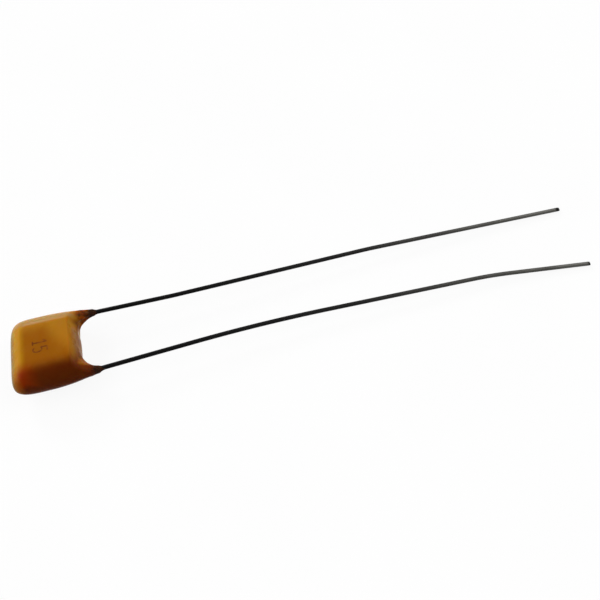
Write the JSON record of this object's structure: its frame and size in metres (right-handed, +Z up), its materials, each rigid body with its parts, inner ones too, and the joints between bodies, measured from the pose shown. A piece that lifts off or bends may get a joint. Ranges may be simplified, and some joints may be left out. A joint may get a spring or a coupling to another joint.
{
  "type": "multilayer ceramic capacitor",
  "caption": "Dipped radial multilayer ceramic capacitor with an ochre epoxy coat and long tinned wire leads, lying flat.",
  "frame": {"origin": "on the underside, under the middle of the ceramic chip and midway between the leads", "axes": "+X along the leads toward their free ends, +Y toward the far lead, +Z up from the table through the thickness"},
  "size_m": [0.0488, 0.0065, 0.003],
  "materials": {
    "epoxy": "glossy dipped epoxy, ochre, darker and redder where it thins toward the legs",
    "wire": "tinned wire, dark and dull near the coat and greyer toward the free ends",
    "ceramic": "fired matt ceramic",
    "electrode": "fired nickel",
    "end_cap": "tinned end metal, satin",
    "solder": "bright solder, slightly frosted"
  },
  "bodies": {
    "root": {"epoxy_coat": "epoxy", "ceramic_block": "ceramic", "plates_far": "electrode", "plates_near": "electrode", "cap_far": "end_cap", "cap_near": "end_cap", "solder_far": "solder", "solder_near": "solder", "lead_far": "wire", "lead_near": "wire"}
  },
  "joints": []
}
